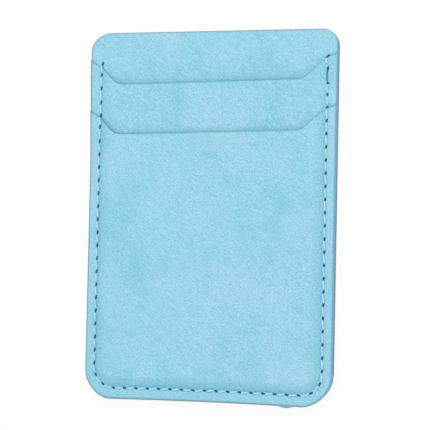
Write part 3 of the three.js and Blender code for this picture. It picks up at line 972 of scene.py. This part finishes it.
def leather_material():
    """Buffed blue leather with painted cut edges.

    Clouds and the worn mask mix three blues, and the grain darkens its creases; the worn mask also lays
    painted highlight on the side margins.
    The shade mask paints shade into the leather inside the seam, the lip mask paints the mouths' cut edges
    teal with painted shade along them, and slits and the sunk stitch's groove get painted shade in dark
    teal, the slits darkest at the right. The rim is grey edge paint with painted shade, but blue at the
    right where it lies high.
    """
    material, tree, shader = new_material("blue_leather", roughness=0.58, specular=0.35)
    clouds = place_group(tree, CLOUDS)
    colour = mix_colour(tree, clouds.outputs["Deep"], LEATHER_BLUE, LEATHER_DEEP)
    # The worn mask also carries painted highlight on the side margins
    pale = weighted_sum(tree, (clouds.outputs["Pale"], PALE_SHARE), (attribute(tree, "worn_and_margin_light"), WORN_AND_LIGHT_SHARE))
    colour = mix_colour(tree, pale, colour, LEATHER_PALE)
    # Painted shade: the ramp just inside the seam is deepened towards teal
    painted_seam_shade = weighted_sum(tree, (attribute(tree, "shade"), SEAM_SHADE_SHARE))
    colour = mix_colour(tree, painted_seam_shade, colour, SEAM_SHADE_TEAL)
    crease = math_node(tree, "SUBTRACT", 1.0, clouds.outputs["Grain"])
    creased = weighted_sum(tree, (crease, CREASE_SHARE))
    colour = mix_colour(tree, creased, colour, CREASE_TINT, "MULTIPLY")
    place = tree.nodes.new("ShaderNodeTexCoord").outputs["Object"]
    split = tree.nodes.new("ShaderNodeSeparateXYZ")
    tree.links.new(place, split.inputs["Vector"])
    middle = (BACK_UNDER + BACK_TOP) / 2
    # The rim's grey is edge paint low on the side wall; on the left, top and bottom rims it is edge paint
    # with painted shade
    low = spread(tree, split.outputs["Z"], (middle + 0.7) * MM, (middle + 0.2) * MM)
    not_right = spread(tree, split.outputs["X"], (HALF_WIDTH - 2) * MM, (HALF_WIDTH - 8) * MM)
    rim_colour = mix_colour(tree, math_node(tree, "MAXIMUM", low, not_right), RIM_BLUE, RIM_GREY)
    colour = mix_colour(tree, attribute(tree, "rim"), colour, rim_colour)
    # Edge paint and painted shade along the mouths' lips
    colour = mix_colour(tree, attribute(tree, "lip"), colour, LIP_TEAL)
    colour = mix_colour(tree, attribute(tree, "bead"), colour, BEAD_BLUE)
    # Painted shade in the sunk stitch's groove
    colour = mix_colour(tree, attribute(tree, "groove"), colour, GROOVE_SHADE_TEAL)
    # Painted shade in the slits: dark teal, darkest at the right
    at_right = spread(tree, split.outputs["X"], (SEAM_X - 3) * MM, (SEAM_X - 1) * MM)
    slit_colour = mix_colour(tree, at_right, SLIT_SHADE_TEAL, SLIT_SHADE_DARK)
    colour = mix_colour(tree, attribute(tree, "slit"), colour, slit_colour)
    tree.links.new(colour, shader.inputs["Base Color"])
    tree.links.new(weighted_sum(tree, (crease, 0.16), (1.0, 0.5)), shader.inputs["Roughness"])
    pores = place_group(tree, PORES, Scale=1900.0)
    bump(tree, pores.outputs["Height"], shader, strength=0.32, distance=0.00012)
    return material


def thread_material():
    """Pale polyester thread, with painted shade in the valleys between its plies and on the turns inside
    the slits.
    """
    material, tree, shader = new_material("pale_thread", roughness=0.5, specular=0.4)
    # Painted shade in the valleys between the plies
    colour = mix_colour(tree, spread(tree, attribute(tree, "ply"), 0.0, 0.6), THREAD_SHADE, THREAD_PALE)
    place = tree.nodes.new("ShaderNodeTexCoord").outputs["Object"]
    fuzz = noise(tree, place, 5200, 2, 0.6)
    colour = mix_colour(tree, weighted_sum(tree, (fuzz, 0.3)), colour, THREAD_SHADE)
    # Painted shade on the thread where it dips into a slit
    colour = mix_colour(tree, spread(tree, attribute(tree, "depth"), 0.35, 0.9), colour, SLIT_SHADE_TEAL)
    tree.links.new(colour, shader.inputs["Base Color"])
    bump(tree, fuzz, shader, strength=0.3, distance=0.00005)
    return material


def fibre_material(name, dark, light, scale, roughness, relief):
    """Matte fibrous sheet whose specks mix two shades."""
    material, tree, shader = new_material(name, roughness, specular=0.25)
    fibres = place_group(tree, FIBRES, Scale=scale)
    tree.links.new(mix_colour(tree, fibres.outputs["Fac"], dark, light), shader.inputs["Base Color"])
    bump(tree, fibres.outputs["Height"], shader, strength=0.4, distance=relief)
    return material


def pad_material():
    """Adhesive film with the faint orange-peel of its coating."""
    material, tree, shader = new_material("pad_film", roughness=0.32, specular=0.5)
    place = tree.nodes.new("ShaderNodeTexCoord").outputs["Object"]
    cloud = noise(tree, place, 90, 3, 0.5, 0.5)
    peel = noise(tree, place, 800, 2, 0.5)
    colour = mix_colour(tree, spread(tree, cloud, 0.4, 0.65), PAD_WHITE, PAD_GREY)
    tree.links.new(colour, shader.inputs["Base Color"])
    tree.links.new(weighted_sum(tree, (peel, 0.7), (1.0, 0.1)), shader.inputs["Roughness"])
    bump(tree, peel, shader, strength=0.25, distance=0.00008)
    return material


# Pieces
leather = leather_material()
thread = thread_material()
back_leather = back_panel(leather)
upper_ears = (float(mouth_height(-SEAM_X, UPPER_MOUTH)), float(mouth_height(SEAM_X, UPPER_MOUTH)))
lower_ears = (float(mouth_height(-SEAM_X, LOWER_MOUTH)), float(mouth_height(SEAM_X, LOWER_MOUTH)))
SLIT_NUMBERS = np.arange(len(SLITS))
ON_RIGHT = SLITS > SEAM_LENGTH / 2


def slits_below(ears):
    """Numbers of the slits that lie below a pocket's ears."""
    limit = np.where(ON_RIGHT, ears[1], ears[0]) - SLIT_HALF_WIDTH
    return SLIT_NUMBERS[SLIT_PLACES[:, 1] < limit]


lower_slits = slits_below(lower_ears)
upper_slits = np.append(np.setdiff1d(slits_below(upper_ears), lower_slits), SLIT_NUMBERS[-1])
upper_leather = pocket_panel(
    "upper_pocket_leather", UPPER_MOUTH, BACK_TOP, UPPER_RISE, upper_slits, 11, True, False, leather)
lower_leather = pocket_panel(
    "lower_pocket_leather", LOWER_MOUTH, UPPER_TOP, LOWER_RISE, lower_slits, 23, False, True, leather)
needle = thread_piece("needle_thread_twist", NEEDLE_RADIUS, surface_height, 1, thread)
bobbin = thread_piece("bobbin_thread_twist", BOBBIN_RADIUS, lining_height, -1, thread)

for piece, node, slot in (
    (back_leather, "back_panel", "blue_leather"),
    (upper_leather, "upper_pocket", "blue_leather"),
    (lower_leather, "lower_pocket", "blue_leather"),
    (needle, "needle_thread", "pale_thread"),
    (bobbin, "bobbin_thread", "pale_thread"),
):
    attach(piece, "root")
    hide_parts(node)

for node, material in (
    ("back_lining", fibre_material(
        "lining_fabric", LINING_DARK, LINING_GREY, scale=1500.0, roughness=0.9, relief=0.0001)),
    ("stiffener_board", fibre_material(
        "board", BOARD_DARK, BOARD_BROWN, scale=900.0, roughness=0.95, relief=0.00015)),
    ("adhesive_pad", pad_material()),
):
    for material_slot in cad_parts[node].material_slots:
        material_slot.material = material


# Camera, in the place and with the lens that the photograph's perspective gives
CAMERA_PLACE_MM = (97.86, -14.143, 370.819)
CAMERA_TURN_DEGREES = (2.4642, 14.6545, 1.2545)
CAMERA_LENS_MM = 122.4

camera_data = bpy.data.cameras.new("camera")
camera_data.lens = CAMERA_LENS_MM
camera_data.sensor_width = 36
camera_data.clip_start = 0.01
camera_data.clip_end = 20
camera = bpy.data.objects.new("camera", camera_data)
camera.location = [value * MM for value in CAMERA_PLACE_MM]
camera.rotation_euler = [math.radians(value) for value in CAMERA_TURN_DEGREES]
bpy.context.scene.collection.objects.link(camera)
bpy.context.scene.camera = camera


def area_light(name, place, aim, size, watts):
    """A square lamp at place that faces aim, both in metres."""
    data = bpy.data.lights.new(name, "AREA")
    data.size = size
    data.energy = watts
    lamp = bpy.data.objects.new(name, data)
    lamp.location = place
    way = np.array(aim) - np.array(place)
    yaw = math.atan2(-way[0], way[1])
    pitch = math.atan2(math.hypot(way[0], way[1]), -way[2])
    lamp.rotation_euler = (pitch, 0, yaw)
    bpy.context.scene.collection.objects.link(lamp)
    return lamp


area_light("key_light", place=(0.08, 0.33, 0.88), aim=(0, 0, 0), size=0.5, watts=3.3)

WORLD_LEVEL = 0.76
FLOOR_SHOWS = 0.09


def seen_white(tree):
    """1 for rays from the camera, from glossy reflections or through glass."""
    rays = tree.nodes.new("ShaderNodeLightPath").outputs
    glossy = math_node(tree, "MAXIMUM", rays["Is Glossy Ray"], rays["Is Transmission Ray"])
    return math_node(tree, "MAXIMUM", rays["Is Camera Ray"], glossy)


def white_world():
    """World that lights at WORLD_LEVEL and is plain white where it is seen."""
    world = bpy.data.worlds.new("studio")
    world.use_nodes = True
    tree = world.node_tree
    background = tree.nodes["Background"]
    background.inputs["Color"].default_value = (1, 1, 1, 1)
    seen = seen_white(tree)
    level = math_node(tree, "ADD", math_node(tree, "MULTIPLY", seen, 1 - WORLD_LEVEL), WORLD_LEVEL)
    tree.links.new(level, background.inputs["Strength"])
    bpy.context.scene.world = world


def white_floor():
    """Pale floor that shows white to the camera and keeps a share of the holder's shadow."""
    mesh = bpy.data.meshes.new("floor")
    half = 2.0
    corners = [(-half, -half, 0), (half, -half, 0), (half, half, 0), (-half, half, 0)]
    mesh.from_pydata(corners, [], [(0, 1, 2, 3)])
    material = bpy.data.materials.new("floor")
    material.use_nodes = True
    tree = material.node_tree
    shader = tree.nodes["Principled BSDF"]
    shader.inputs["Base Color"].default_value = (0.9, 0.9, 0.9, 1)
    shader.inputs["Roughness"].default_value = 1.0
    shader.inputs["Specular IOR Level"].default_value = 0.0
    glow = tree.nodes.new("ShaderNodeEmission")
    glow.inputs["Strength"].default_value = 1.0
    blend = tree.nodes.new("ShaderNodeMixShader")
    share = math_node(tree, "MULTIPLY", seen_white(tree), 1 - FLOOR_SHOWS)
    tree.links.new(share, blend.inputs[0])
    tree.links.new(shader.outputs[0], blend.inputs[1])
    tree.links.new(glow.outputs[0], blend.inputs[2])
    tree.links.new(blend.outputs[0], tree.nodes["Material Output"].inputs["Surface"])
    mesh.materials.append(material)
    floor = bpy.data.objects.new("floor", mesh)
    bpy.context.scene.collection.objects.link(floor)


white_world()
white_floor()
bpy.context.scene.view_settings.view_transform = "Standard"
